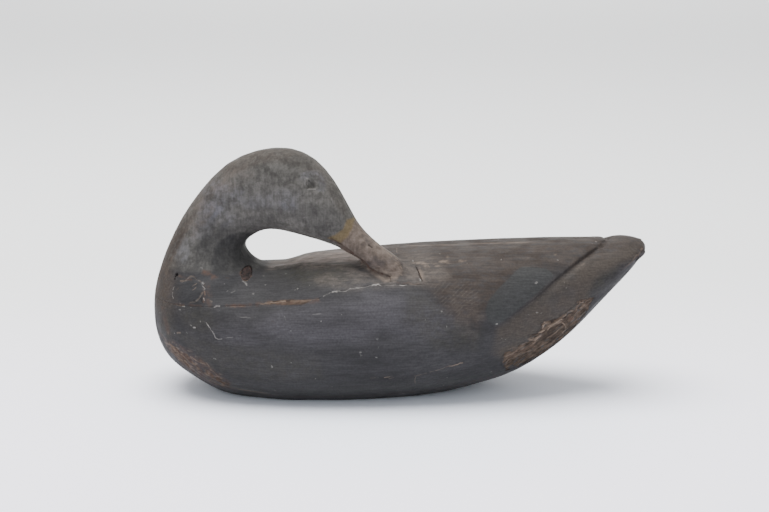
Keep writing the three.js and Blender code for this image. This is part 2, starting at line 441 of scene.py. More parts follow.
# Narrow marks on the near side: half width, how strong it is, then x and z of each corner of its line
strokes = {
    "pale": [
        (0.6, 0.9, -152.3, 68.3, -151.6, 67.4),
        (0.4, 0.85, -152.1, 68, -150.6, 66.3, -147.8, 62.6, -146.2, 59.5, -144.6, 57.3),
        (0.38, 0.65, -144.6, 57.3, -142.5, 56.4, -139.8, 56.3), (0.4, 0.28, -136.6, 57.6, -131, 58.3),
        (0.7, 0.7, -162.5, 63.4, -161.5, 63.6), (0.5, 0.45, -164.6, 64.9, -163.9, 64.5),
        (0.7, 0.8, -171.8, 78.1, -170, 78), (0.6, 0.45, -174.9, 75.1, -173.6, 75.3),
        (0.5, 0.4, -165.4, 78, -164.4, 78.2), (0.6, 0.75, -146, 80.3, -141.5, 80.7),
        (0.45, 0.4, -180, 90.6, -180.4, 88.4), (0.45, 0.35, -180.6, 86.6, -180, 83),
        (0.45, 0.45, -157, 94.3, -153.7, 91.6), (0.6, 0.8, -154.2, 85.2, -153.8, 83.8),
        (0.7, 0.6, -158.3, 105.5, -157, 105.2), (0.5, 0.45, -125, 95.9, -121, 93.9),
        (0.6, 0.4, -91.4, 99.3, -90.2, 99.6), (0.6, 0.22, -132.8, 89.2, -129.5, 90.6),
        (0.6, 0.3, -115.9, 89.5, -115.3, 89.4), (0.6, 0.22, -126.7, 74.2, -117, 73.1),
        (0.5, 0.2, -90, 75.2, -89.1, 73.5, -88.5, 71.5), (0.5, 0.25, -67.5, 77.4, -62, 77.9),
        (0.55, 0.9, -53.2, 92.4, -49, 92.9), (0.45, 0.5, -49, 92.9, -44, 93.5, -37, 94.7),
        (0.55, 0.95, -37, 94.7, -30, 96), (0.4, 0.45, -30, 96, -22, 97), (0.55, 0.9, -22, 97, -15, 97.3),
        (0.4, 0.25, -13, 97.4, -3, 97.7), (0.5, 0.75, -0.5, 97.8, 5, 97.8),
        (0.4, 0.4, -60, 89.6, -53.6, 92.2), (0.75, 0.3, -75.6, 179.2, -72.6, 178),
        (0.45, 0.32, -74.8, 177, -75, 172.6), (0.5, 0.42, -73.4, 169.9, -66.4, 169.6),
        (0.4, 0.32, -67.8, 168.2, -63.6, 167.9), (0.6, 0.16, -54, 162.8, -53.2, 156.8),
        (0.6, 0.13, -85, 146.5, -73, 147.5), (0.6, 0.8, 75.4, 67.8, 76.4, 67.8),
        (0.5, 0.5, -19.4, 44, -18.7, 43.8), (0.5, 0.14, -77, 41.6, -72, 41.4),
    ],
    "tan": [
        (0.5, 0.35, -191.8, 78.9, -185.9, 78.5, -180, 78.2, -171.5, 78.3),
        (0.45, 0.35, -174.5, 95.4, -169, 96.3, -165, 97.1), (0.4, 0.4, -165, 92.9, -160.8, 94.8),
        (0.4, 0.35, -165, 90.4, -161, 92.6), (0.5, 0.5, -154.2, 89.8, -153.6, 87.6),
        (0.9, 0.5, -149.2, 83.9, -148, 83.7), (0.9, 0.45, -176.6, 56.9, -174.4, 57.8),
        (0.5, 0.35, -133, 81.1, -128, 81, -121, 81.9), (0.6, 0.75, -111, 82.9, -98, 84.6, -89, 85.2),
        (0.7, 0.35, -86, 85.6, -72, 86.9, -64, 88), (0.45, 0.5, 7.4, 97.7, 15.3, 98),
        (1.4, 0.07, -188, 96.7, -184, 107, -179, 118, -166, 139.5, -153.5, 157.5, -141, 172, -130.7, 183),
        (0.9, 0.12, -30, 129.6, -18.5, 120, -9.5, 112, -4, 106.5), (0.5, 0.8, -18.5, 110.4, -15.4, 109.8),
        (0.5, 0.55, -13.6, 107.1, -12.3, 106.7), (0.6, 0.5, -9, 102, -3.5, 102.6),
        (0.5, 0.5, -9.4, 119.4, -6.6, 117.4), (0.5, 0.55, -4.8, 116.8, -2.2, 114.6),
        (0.5, 0.5, -4.2, 112.6, -1.6, 110.6), (0.5, 0.5, -0.2, 110, 2.2, 107),
        (0.5, 0.35, -7, 108.4, -4.6, 106.6), (0.5, 0.4, -0.6, 105.4, 1.6, 103.8),
        (0.5, 0.3, -5, 99.8, -1, 100.2), (0.5, 0.3, -12, 100.4, -8.6, 100.2),
        (0.9, 0.65, -173.5, 37.6, -170.5, 35), (0.7, 0.6, -166, 37.4, -161, 34.6, -156, 33.2),
        (0.9, 0.35, -153.5, 34.6, -151, 31), (0.6, 0.35, -150, 28, -146, 24.4, -143.6, 21),
        (0.6, 0.45, -146.4, 18.5, -139, 15.4), (0.7, 0.4, -184, 45, -180, 43.2, -176, 42.6),
        (0.6, 0.4, -181, 37.6, -174, 31.4), (0.7, 0.4, -140.5, 12.6, -136.5, 10.2),
        (0.55, 0.7, -12.5, 24.9, -6, 25.9), (0.4, 0.4, -8.6, 23.8, -4.6, 24.6),
        (0.5, 0.3, -23, 25.2, -20, 25.6), (0.45, 0.35, 11, 25.4, 17, 26.8, 21, 28.2),
        (0.45, 0.5, 24, 28.8, 32, 30.6, 38, 32.6), (0.7, 0.9, 38, 32.6, 43.5, 34.2, 48.6, 35.6),
        (0.5, 0.4, 12.6, 25, 12, 20, 12.4, 17), (0.8, 0.18, 140, 106, 147, 109.4),
    ],
    "flakes": [
        (2.2, 0.45, 116, 60, 122, 62.6, 128, 63), (1.9, 1, 113.7, 61, 114.6, 65, 118.6, 64.2),
        (1.1, 1, 110.5, 56.4, 117, 59.6, 122.4, 63.4, 128.8, 66),
        (0.7, 0.85, 116.5, 56.4, 121.5, 60.6, 126.4, 63.6), (0.9, 0.6, 112, 54, 117.5, 57.8),
        (0.8, 0.7, 125.4, 61.6, 129.5, 62.6, 132.6, 60, 133.4, 56.3, 132, 51.5),
        (2.4, 0.8, 103.5, 51.6, 107.9, 49.6, 111.8, 52), (1.2, 0.45, 106, 46.6, 110.6, 47.6),
        (0.9, 0.55, 141.4, 71.4, 141.6, 76.4, 143.4, 79.4, 146.4, 78.4), (0.9, 0.45, 144.6, 72.5, 148.6, 76),
        (0.5, 0.3, 147.4, 80, 151.4, 84.6), (0.9, 0.6, 130.4, 68.6, 134.6, 72, 137.6, 72.6),
        (1.5, 0.45, 84, 36.4, 91.8, 40.6, 99, 43), (1.1, 0.42, 90, 33.4, 99, 37.6, 107, 39.2),
        (1.1, 0.36, 104, 34.4, 112, 40.2, 119, 44), (1.1, 0.35, 86, 44.4, 92, 46),
        (1, 0.45, 84, 30, 88, 33.4, 92, 34.4), (1, 0.4, 96, 47.6, 101, 49),
        (0.9, 0.4, 118, 48.6, 126, 52.4, 131, 58),
    ],
    "rust": [
        (2.8, 0.9, -155.4, 102.4, -150, 100.4, -147, 99), (1.5, 0.6, -176, 98.6, -165.6, 97),
        (3.4, 0.6, -153, 93.9, -150.5, 88, -150.5, 82.5), (1.4, 0.9, -155, 91.2, -153.6, 87, -154.6, 82.6),
        (1.2, 0.5, -166, 79.4, -157, 80.2), (1.2, 0.4, -178, 78.8, -171, 79.2),
        (1.7, 0.8, -136, 81.2, -117, 82.1), (2.4, 0.5, -112, 83, -86, 84.6, -64, 87),
        (1, 0.45, -54, 129, -46, 124.4, -38, 119), (1.6, 0.95, -38, 119, -32, 114.6, -28, 112, -24.6, 108),
        (1, 0.8, -24, 107.6, -19.4, 105.4, -14, 103.8), (2, 0.55, -48, 123, -38, 116, -30.5, 110.5),
        (3.4, 0.6, -188.6, 72.5, -186.7, 64.5, -184.3, 55.1), (1.9, 0.7, 139, 62.6, 135.6, 66.4),
        (1.9, 0.6, 86, 35.8, 96, 41.6), (1.6, 0.5, 104, 43.6, 98, 40.4),
        (0.9, 0.5, 196.5, 117.5, 190.5, 110.6), (1.2, 0.3, 37, 32.4, 49, 35.8), (1, 0.4, -2, 99.4, 9, 98.8),
    ],
    "dark": [
        (0.6, 0.22, -77, 41.4, -62, 41, -40, 42.4), (0.8, 0.22, 28, 57.5, 46, 57),
        (0.8, 0.2, 32, 54, 48, 53), (0.8, 0.2, 26, 50.5, 40, 50), (0.8, 0.2, 34, 47, 46, 46),
        (0.7, 0.5, -168, 96.4, -160, 98.6), (0.8, 0.7, -157, 84.6, -155.4, 82.4),
        (0.7, 0.5, -162.6, 83.6, -161.4, 82.6), (0.5, 0.45, -0.6, 112.4, 2.8, 108.8),
        (0.5, 0.3, -5, 113.8, -3, 112.4), (0.7, 0.6, 99.6, 48.8, 101.8, 46.4),
        (0.9, 0.5, 109.2, 58.6, 112, 62.6, 113, 59), (0.4, 0.45, 119.4, 58.6, 125.4, 63),
        (0.8, 0.5, 103.4, 43, 106.4, 40.8), (0.7, 0.5, 133.6, 69.4, 137, 70.4),
        (0.8, 0.4, 134.6, 62.4, 136.6, 58.4), (0.5, 0.5, 143.2, 72, 145, 77),
        (0.6, 0.4, 106.8, 36, 114.8, 43.4), (0.9, 0.85, -71.8, 176.2, -69.8, 174.4, -68, 171.6),
        (0.5, 0.45, -73.4, 175.8, -73.8, 172.8, -71.4, 171, -69, 170.8),
    ],
}

# Marks on the back, seen from above: half width, how strong, then x and y of each corner
backStrokes = [
    (1.5, 0.62, 12.4, -38, 18, -40.4, 25, -41), (1.4, 0.55, 25, -41, 32, -38.6, 38, -37),
    (1.1, 0.4, 20, -43.4, 30, -44), (1, 0.22, 38.5, -30.5, 38, -36, 39, -41), (1.3, 0.4, 48, -37, 52, -38.4),
    (0.9, 0.3, 102, -33.4, 103.4, -33), (0.7, 0.34, 124, -29.4, 126.4, -28.6),
]


def mirrored(points):
    # the far side folded on to the near side
    return np.stack([points[:, 0], -np.abs(points[:, 1]), points[:, 2]], 1)


def strayed(points):
    # points pushed about a little, which makes the marks that are drawn with them run raggedly
    return points + np.stack([
        0.7 * lumps(points, 5, seed) + 0.35 * lumps(points, 1.7, seed + 5) for seed in (61, 62, 63)
    ], 1)


def slanted(points, grain):
    # points turned so that their x runs along a slanting grain in the side view
    x, y, z = points.T
    cosine, sine = math.cos(math.radians(marks[grain])), math.sin(math.radians(marks[grain]))
    return np.stack([x * cosine + z * sine, y, z * cosine - x * sine], 1)


def acrossLine(points, normals, line):
    # signed distance across a line on the surface and the length gone along it; the sign turns with the line
    corners = np.asarray(line, float)
    best = np.full(len(points), 1e9)
    side, along, gone = np.zeros(len(points)), np.zeros(len(points)), 0.0
    for start, end in zip(corners[:-1], corners[1:]):
        step = end - start
        length = np.linalg.norm(step)
        t = np.clip((points - start) @ step / length**2, 0, 1)
        rest = points - start - t[:, None] * step
        away = np.linalg.norm(rest, axis=1)
        flat = rest - np.einsum("ij,ij->i", rest, normals)[:, None] * normals
        flat = np.maximum(np.linalg.norm(flat, axis=1), away - 8)
        turn = np.einsum("ij,ij->i", np.cross(normals, step), rest)
        nearer = away < best
        best[nearer] = away[nearer]
        side[nearer] = np.where(turn > 0, flat, -flat)[nearer]
        along[nearer] = (gone + t * length)[nearer]
        gone += length
    return side, along


def awayFrom(points, spot):
    return np.linalg.norm(points - spot, axis=1)


def nearOnly(away, points):
    # the far side is left out of a mark that is seen from the near side
    return np.where(points[:, 1] < -4, away, 99.0)


def sideAway(points, line):
    return nearOnly(distanceToLine(points, line, (0, 2)), points)


def sideLine(points, name):
    return sideAway(points, marks[name])


def sideOutline(points, name):
    # over 0 inside the outline
    return -nearOnly(-insideOutline(points, marks[name]), points)


def narrowMarks(rows):
    return [(row[0], row[1], np.reshape(row[2:], (-1, 2))) for row in rows]


def stroked(points, kind, seed):
    # the narrow marks of one kind, each a little broken along its length
    broken = np.clip(0.85 + 0.5 * lumps(points, (2.2, 2, 1.6), seed), 0.25, 1)
    return broken * np.maximum.reduce([
        strength * fade(sideAway(points, line), 0.15 * wide, wide)
        for wide, strength, line in narrowMarks(strokes[kind])
    ])


def backStroked(points):
    total = np.zeros(len(points))
    for wide, strength, line in narrowMarks(backStrokes):
        away = np.where(points[:, 2] > 96, distanceToLine(points, line, (0, 1)), 99)
        total = np.maximum(total, strength * fade(away, 0.1 * wide, 2.0 * wide))
    return total * softStep(lumps(points, (2.4, 1.6, 3), 74), -0.35, 0.25)


def seamAway(points):
    # distances from the seam's side line and from its rear end
    x, y, z = points.T
    side, rear = np.array(seam["side"]), np.array(seam["rearEnd"])
    height = np.interp(x, side[:, 0], side[:, 1])
    rearX = np.interp(np.abs(y), rear[:, 0], rear[:, 1])
    under = np.where(x < rearX + 0.8, np.abs(z - height), 99.0)
    return under, np.where(z > height - 0.8, np.abs(x - rearX), 99.0)


def skinOf(points):
    # how far each point is from the carved surface, and the surface's outward normal there
    away = np.empty(len(points))
    normals = np.empty((len(points), 3))
    for index, spot in enumerate(points / 1000):
        _, normal, _, distance = skin.find_nearest(Vector(spot))
        away[index] = distance * 1000
        normals[index] = normal
    return away, normals


# Finer faces where the carving and the wear need them

def hairWork(points, faintest=0.35):
    # distance from the nearest narrow mark
    return np.minimum.reduce([
        sideAway(points, line) - 0.4 * wide
        for wide, strength, line in narrowMarks(strokes["pale"] + strokes["tan"]) if strength >= faintest
    ] + [np.abs(crackSides(points)[0]), sideLine(points, "nostril")])


def fineWork(points):
    # distance from the nearest mark that needs fine faces, less than 0 inside a worn area
    eye = np.hypot(points[:, 0] - marks["eye"][0], points[:, 2] - marks["eye"][1]) - marks["eyeSize"]
    near = [
        *seamAway(points),
        distanceToLine(mirrored(points), marks["wingLine"]) - 0.8,
        distanceToLine(points, marks["backCrack"]) - 1,
        np.maximum(-sideOutline(points, "breast"), 0.75),
        np.where(points[:, 2] > marks["faceFrom"], eye, 99),
        np.maximum(awayFrom(points, marks["knot"]) - marks["knotSize"], 0.6),
        awayFrom(points, plug["mouth"]) - plug["wornRadius"],
        hairWork(points, 0),
    ]
    near += [sideAway(points, line) - 0.4 * wide for wide, _, line in narrowMarks(strokes["dark"])]
    near += [sideLine(points, name) for name in ("mouth", "underBill")]
    near += [-sideOutline(points, name) for name in ("tailChip", "sliver")]
    near += [distanceToLine(points, marks[name]) for name in ("tailRim", "bottomEdge")]
    near += [awayFrom(points, spot) - size for *spot, size in marks["nailHoles"]]
    away = np.minimum.reduce(near)
    return np.where(points[:, 1] > 4, away + 1.0, away)  # the far side is plainer


fineness = {
    "bands": ((fineWork, 1.8), (fineWork, 0.58), (hairWork, 0.3)),  # cut once, twice, and three times
    "relaxing": 3,
    "longest": 2.6,  # edges over this have no share in the relaxing
    "bodyAngle": math.radians(42),
    "plugAngle": math.radians(50),
}


def refined(piece):
    for work, band in fineness["bands"]:
        centres = centresOf(piece)
        surface, _ = skinOf(centres)
        halved(piece, (work(centres) < band) & (surface < 0.8))
        splitWide()


def relaxed(piece):
    # softens the corners that the finer faces kept, but not the seam's own edges
    points, edges = pointsOf(piece), edgesOf(piece)
    away, _ = skinOf(points)
    onSkin = away < 0.05
    free = onSkin & (np.minimum(*seamAway(points)) > 0.2) & (fromPlug(points) > plug["holeRadius"] + 0.2)
    lengths = np.linalg.norm(points[edges[:, 0]] - points[edges[:, 1]], axis=1)
    edges = edges[onSkin[edges[:, 0]] & onSkin[edges[:, 1]] & (lengths < fineness["longest"])]
    for _ in range(fineness["relaxing"]):
        points[free] += 0.5 * (neighbourMean(points, edges) - points)[free]
    movePoints(piece, points)


# Carved lines, wear and damage, as millimetres out of the surface, or into it when less than 0

def wingSide(points, normals):
    turned = normals.copy()
    turned[:, 1] *= np.where(points[:, 1] > 0, -1, 1)
    return acrossLine(mirrored(points), turned, marks["wingLine"])


def wingStep(points, normals):
    side, along = wingSide(points, normals)
    deep = np.interp(along, [0, 14, 34, 62, 90, 110, 124], [0.3, 1.2, 2.1, 1.8, 1.3, 0.8, 0.0])
    return -deep * softStep(side, -1.5, 0.6) * fade(side, 0.6, 7.0)


def shoulderEdge(points, normals):
    side, along = acrossLine(points, normals, marks["shoulder"])
    return 1.5 * softStep(along, 0, 18) * fade(along, 76, 90) * np.clip(1 - np.abs(side) / 9, 0, 1)


def tailEdge(points, normals):
    side, along = acrossLine(points, normals, marks["tailRim"])
    ends = softStep(along, 0, 6) * fade(along, 24, 38)
    blunt = 1.4 * softStep(points[:, 0], 193, 200) * softStep(points[:, 2], 98, 106)
    return blunt - 1.1 * ends * softStep(side, -0.3, 1.8) * fade(side, 3, 14)


def bottomBevel(points, normals):
    side, along = acrossLine(points, normals, marks["bottomEdge"])
    ends = softStep(along, 0, 8) * fade(along, 34, 50)
    return -0.8 * ends * softStep(side, -0.2, 1.2) * fade(side, 3, 9)


def chipInside(points):
    torn = 1.2 * lumps(points, (5, 5, 3.2), 5) + 0.8 * lumps(points, (1.8, 2, 1.3), 6)
    return sideOutline(points, "tailChip") + torn


def tailDamage(points, loose):
    inside = chipInside(points)
    fibres = slanted(points, "tailGrain")
    smooth = fade(sideLine(points, "chipHollow"), 3.5, 6)
    rough = 0.38 * lumps(fibres, (8, 4, 2), 7) + 0.3 * lumps(fibres, (4, 2, 1.1), 8)
    rough += 0.3 * lumps(points, (2.6, 2, 1.6), 94)
    deep = -0.6 * softStep(inside, 0, 0.8) - 0.9 * softStep(inside, 0.8, 8)
    torn = deep - 0.4 * smooth * softStep(inside, 0, 2) + softStep(inside, 0, 1.5) * (1 - smooth) * rough
    return torn + 0.9 * stroked(loose, "flakes", 9)


def breastWorn(points):
    return softStep(sideOutline(points, "breast") + 2.5 * lumps(points, (9, 8, 6), 11), -1, 4)


def breastDamage(points):
    pits = lumps(slanted(points, "breastGrain"), (7, 5, 2.4), 12) + 0.4 * lumps(points, 1.6, 13)
    return -0.3 * breastWorn(points) * softStep(pits, 0.05, 0.4)


def sliverInside(points):
    ragged = 0.5 * lumps(points, (10, 4, 1.6), 21) + 0.25 * lumps(points, 1.5, 22)
    return sideOutline(points, "sliver") + ragged


def seamWear(points):
    under, behind = seamAway(points)
    uneven = np.clip(0.6 + 0.5 * lumps(points, (7, 7, 7), 23), 0.15, 1)
    inside = sliverInside(points)
    line = -0.4 * uneven * fade(under, 0.05, 0.7) * fade(inside, -0.5, 0.5)
    sliver = softStep(inside, 0, 1.2) * (-0.3 + 0.12 * lumps(points, (18, 5, 0.9), 25))
    return line + sliver - 0.1 * fade(behind, 0.1, 0.6)


def crackSides(points):
    # the crack at the head block's end: how far across it, how far along it and how open it is
    side, along = acrossLine(points, np.tile((0.05, -0.55, 0.83), (len(points), 1)), marks["backCrack"])
    _, y, z = points.T
    side = np.where((z > 96) & (z < 114) & (y < -18), side, 99.0)
    return side, along, np.interp(along, [0, 6, 14, 24, 34, 38], [0.1, 0.5, 0.8, 1.0, 0.9, 0.1])


def knotMark(points):
    away = awayFrom(points, marks["knot"])
    ring = np.abs(away - marks["knotSize"] + 1.8 * lumps(points, 6, 31) + 0.5)
    return ring, softStep(lumps(points, 4, 32), -0.1, 0.35), away


def headRelief(points, loose):
    ring, broken, away = knotMark(points)
    total = -0.3 * broken * fade(ring, 0.1, 0.9) + 0.3 * fade(away, 3, 11)
    for *spot, size in marks["nailHoles"]:
        total -= 1.6 * fade(awayFrom(loose, spot), 0.3 * size, 1.15 * size)
    total -= 0.35 * fade(awayFrom(loose, plug["mouth"]), 4.2, 5.6)
    dx, dz = loose[:, 0] - marks["eye"][0], loose[:, 2] - marks["eye"][1]
    eye = np.where(points[:, 2] > marks["faceFrom"], np.maximum(np.abs(dx + 0.3 * dz), np.abs(dz)), 99)
    total -= (0.4 + 0.12 * np.clip(dx, -3, 3)) * fade(eye, 1.6, marks["eyeSize"])
    return total + 0.25 * fade(np.abs(eye - marks["eyeSize"] - 0.4), 0.2, 0.9)


def billRelief(points):
    x, y, z = points.T
    line = np.array(marks["mouth"])
    away = sideLine(points, "mouth")
    below = (z < np.interp(x, line[:, 0], line[:, 1])) & (x > line[0, 0]) & (x < line[-1, 0])
    lip = np.where(below, -0.6 * fade(away, 1.5, 7), 0.35 * fade(away, 0.8, 3))
    lip = (lip - 0.35 * fade(away, 0.15, 0.9)) * softStep(x, -58, -50)
    hollow = -0.5 * fade(sideLine(points, "underBill"), 0.4, 2.2)
    slot = -0.6 * fade(sideLine(points, "nostril"), 0.1, 0.8)
    return np.where(y < marks["billSide"], lip + hollow, 0) + slot


def scratches(loose):
    total = -0.18 * stroked(loose, "pale", 71) - 0.12 * stroked(loose, "tan", 72)
    return total - 0.15 * stroked(loose, "dark", 73)


def relief(points, normals):
    loose = strayed(points)
    total = sum(carved(points, normals) for carved in (wingStep, shoulderEdge, tailEdge, bottomBevel))
    total += tailDamage(points, loose) + breastDamage(points) + seamWear(points)
    total += headRelief(points, loose) + billRelief(points) + scratches(loose)
    side, _, opened = crackSides(points)
    total -= 1.0 * opened * fade(np.abs(side), 0.1, 0.55)
    total -= 0.5 * opened * (side > 0) * fade(side, 0.5, 3.2) * softStep(opened, 0.5, 0.9)
    return total * softStep(points[:, 2], 0.5, 4)


def innerFaces(piece):
    # the sawn faces that meet inside, which stay bare wood
    away, normals = skinOf(centresOf(piece))
    facing = np.einsum("ij,ij->i", readOut(piece.data.polygons, "normal"), normals)
    return (away > 0.4) | (facing < 0.7)


def worked(piece):
    # gives a piece its fine faces, its paint areas and its relief
    refined(piece)
    relaxed(piece)
    points, edges = pointsOf(piece), edgesOf(piece)
    away, normals = skinOf(points)
    for _ in range(3):
        normals = neighbourMean(normals, edges)
        normals /= np.maximum(np.linalg.norm(normals, axis=1), 1e-6)[:, None]
    for name, values in paintMasks(points, strayed(points), normals).items():
        layer = piece.data.attributes.new(name, "FLOAT", "POINT")
        layer.data.foreach_set("value", values.astype(np.float32))
    piece.data.polygons.foreach_set("material_index", innerFaces(piece).astype(np.int32))
    movePoints(piece, points + normals * (relief(points, normals) * (away < 0.12))[:, None])
    onlySelect(piece)
    bpy.ops.object.shade_smooth_by_angle(angle=fineness["bodyAngle"])


# Paint areas, as outlines in x and z that hold on both sides, and how strong each is

areas = {
    "paleNeck": [
        ([(-181, 111), (-180, 120), (-173, 127), (-166, 123), (-167, 113), (-174, 109)], 0.5),
        ([(-160, 148), (-157, 164), (-146, 174), (-136, 168), (-140, 152), (-150, 143)], 1),
        ([(-166, 126), (-163, 138), (-152, 152), (-138, 158), (-134, 150), (-147, 142), (-153, 130)], 0.5),
        ([(-159, 141), (-155, 149), (-148, 151), (-150, 143)], 0.8),
        ([(-138, 157), (-132, 168), (-124, 167), (-128, 157)], 0.6),
        ([(-141, 138), (-137, 146), (-131, 146), (-134, 138)], 0.45),
        ([(-128, 159), (-112, 163), (-92, 168), (-80, 166), (-82, 158), (-104, 155), (-122, 153)], 0.4),
        ([(-97, 154), (-94, 164), (-82, 164), (-83, 154)], 0.7),
    ],
    # dark paint and dirt on the neck and head, with painted shade inside the loop under the head, at the
    # neck's root and along the tail's lower edge
    "darkPatchesAndShade": [
        ([
            (-152, 107), (-147, 124), (-135, 132), (-120, 131), (-112, 122), (-110, 106), (-124, 103),
            (-149, 101),
        ], 0.82),
        ([(-148, 126), (-145, 137), (-138, 141), (-135, 131)], 0.6),
        ([(-124, 131), (-108, 140), (-92, 144), (-92, 140), (-112, 130)], 0.35),
        ([(-180, 93), (-178, 80), (-158, 78), (-154, 86), (-157, 94), (-167, 97)], 0.75),
        ([(-164, 104), (-163, 122), (-154, 134), (-144, 130), (-144, 98), (-158, 97)], 0.6),
        ([(-161, 99), (-130, 99), (-127, 88), (-158, 83)], 0.5),
        ([(-179, 109), (-166, 111), (-158, 104), (-160, 96), (-178, 97)], 0.5),
        ([(-163, 136), (-158, 147), (-147, 147), (-148, 134), (-156, 130)], 0.4),
        ([(-74, 146), (-58, 143), (-50, 134), (-54, 128), (-70, 134)], 0.35),
        ([
            (-120, 158), (-96, 156), (-70, 158), (-50, 152), (-42, 143), (-52, 131), (-74, 143), (-96, 150),
            (-118, 150),
        ], 0.3),
        ([(-136, 132), (-128, 142), (-112, 148), (-96, 148), (-104, 140), (-122, 132)], 0.35),
        ([(-184, 71), (-176, 74), (-170, 60), (-168, 42), (-178, 50)], 0.45),
        # painted shade along the tail's lower edge
        ([(148, 70), (166, 86), (184, 103), (198, 112), (206, 116), (206, 100), (180, 76), (160, 60)], 0.55),
    ],
    "olive": [
        ([(-172, 76), (-150, 77), (-146, 66), (-158, 60), (-170, 66)], 0.45),
        ([(-190, 78), (-184, 78), (-180, 60), (-184, 46), (-192, 56)], 0.6),
        ([(-176, 56), (-120, 50), (-66, 42), (-60, 26), (-120, 20), (-150, 30)], 0.4),
        ([(-106, 101), (-96, 104.5), (-80, 106), (-52, 108), (-40, 108), (-44, 101), (-76, 98)], 0.85),
        ([(8, 93), (30, 86), (48, 68), (62, 62), (60, 48), (30, 50), (4, 70)], 0.45),
        ([(110, 56), (128, 72), (144, 88), (160, 100), (172, 104), (150, 80), (130, 66)], 0.7),
        ([(92, 46), (112, 66), (128, 78), (118, 84), (96, 70), (80, 54)], 0.4),
    ],
    "purple": [
        ([(-110, 66), (-96, 80), (-60, 86), (-20, 88), (-12, 70), (-30, 58), (-70, 56)], 1),
        ([(-142, 62), (-122, 66), (-112, 56), (-130, 50)], 0.5),
        ([(-30, 94), (0, 92), (28, 88), (50, 76), (44, 62), (6, 62), (-24, 72)], 1),
    ],
    "brownBack": [
        (12, 130), (14, 112), (16, 99), (26, 93), (34, 84), (44, 73), (60, 67), (66, 78), (80, 92),
        (98, 104), (120, 106), (134, 108), (146, 100), (160, 104), (172, 110), (186, 110), (205, 118),
        (205, 135),
    ],
    "tailSide": [
        ([
            (77, 63), (92, 73), (106, 84), (116, 92), (126, 99), (138, 106), (150, 110), (168, 114),
            (190, 118), (188, 113), (175, 109), (155, 98), (148, 86), (150, 76), (140, 58), (120, 40),
            (90, 28), (74, 44),
        ], 0.85),
    ],
    # pale scuffs; the first outline also reaches up over the shade below the bill as painted light
    "scuffsAndLight": [
        ([
            (-70, 99), (-56, 103), (-40, 109), (-24, 111), (-12, 108), (12, 108), (14, 99), (-10, 98),
            (-44, 95),
        ], 1),
        ([(-4, 101), (2, 112), (16, 115), (30, 111), (38, 103), (24, 98), (6, 98)], 0.9),
        ([(40, 94), (62, 90), (66, 74), (60, 58), (46, 60), (36, 78)], 0.4),
        ([
            (-172, 132), (-160, 158), (-140, 177), (-122, 186), (-116, 180), (-134, 168), (-150, 150),
            (-164, 128),
        ], 0.8),
    ],
    "patch": [
        (92, 105.6), (95, 107.5), (98, 108), (108, 107.6), (116, 106.4), (120, 104), (121.6, 101.6),
        (113, 94), (103, 85.7), (93, 78.6), (83, 71), (76, 66), (70, 68.9), (66.8, 77.6), (69.3, 85.7),
        (77.4, 93.9), (86, 101),
    ],
    "comb": [(22, 98), (34, 100), (50, 101), (61, 97), (66, 87), (57, 75), (42, 72), (30, 80)],
    "ochre": [
        (-57, 130.4), (-52, 133.4), (-45, 138), (-42, 145), (-35, 146), (-38, 138), (-41.5, 131.5),
        (-48, 127),
    ],
    "loopCentre": (-98, 122),
    # seen from above, x and y
    "behindBill": [(6, -14), (20, -17), (20, -34), (10, -32)],
    "arris": [(6, 1), (25, -3), (58, -6), (98, -10), (130, -8)],
}


def inAreas(points, name, soft):
    folded = mirrored(points)
    return np.maximum.reduce([
        strength * softStep(insideOutline(folded, outline), -soft, 0.6 * soft)
        for outline, strength in areas[name]
    ])


def edgeOf(points, normals):
    # the rounded outer edge of the neck and head, seen from the middle of the loop
    x, _, z = points.T
    across, up = x - areas["loopCentre"][0], z - areas["loopCentre"][1]
    outward = (across * normals[:, 0] + up * normals[:, 2]) / np.maximum(np.hypot(across, up), 1)
    return softStep(outward, 0.40, 0.66) * softStep(z, 60, 110) * softStep(-x, 32, 44)


def plankWearAndLightArea(points):
    # the rubbed top of the block between the loop and the bill, down to its crease: worn pale, and painted
    # light where the head shades it, carried a little over the shaded strip at the crease
    x, y, z = points.T
    crease = np.interp(x, [-108, -96, -80, -55, -40, -24], [102, 103.8, 105.4, 107.4, 109, 110.4])
    crease -= 3 * softStep(y, -24, -8) * fade(x, -90, -74)
    ends = softStep(x, -112, -100) * fade(x, -30, -8) * (1 - 0.65 * softStep(y, -14, 22))
    return ends * softStep(z - crease, -3.5, 0.8) * (z < 122)


def brownRub(points, normals):
    x, _, z = points.T
    back = softStep(insideOutline(mirrored(points), areas["brownBack"]), -7, 6)
    top = softStep(normals[:, 2], 0.55, 0.95) * softStep(z, 99, 103) * softStep(x, -34, -16)
    tip = fade(np.linalg.norm((points - (4, -44, 106)) / (18, 16, 10), axis=1), 0.4, 1.1)
    return np.clip(np.maximum(0.9 * np.maximum(back, top), tip), 0, 1)


# darker brown on the surfaces of the neck and head that face out from the loop: painted shade on the rounded
# outer face, with brown wear; and brown on the breast's front edge
def rimShadeAndRub(points, normals):
    x, _, z = points.T
    rim = edgeOf(points, normals) * (0.92 - 0.3 * softStep(z, 168, 190)) * (1 - 0.4 * softStep(x, -90, -66))
    rim *= 1 - 0.45 * softStep(z, 128, 150) * fade(z, 174, 184)
    return np.maximum(rim, softStep(-x, 170, 193) * softStep(z, 56, 84))


def darkBack(points):
    # the far edge of the back, beyond a worn arris, darkened as painted shade where the top turns away
    x, y, z = points.T
    line = areas["arris"]
    top = (z > 108) & (x > 2) & (x < 150)
    beyond = softStep(y - np.interp(x, *zip(*line)), 0.5, 6) * softStep(x, 0, 10) * fade(x, 130, 150)
    arris = fade(distanceToLine(points, line, (0, 1)), 0.5, 2.6)
    return np.where(top, beyond, 0), np.where(top, arris, 0)


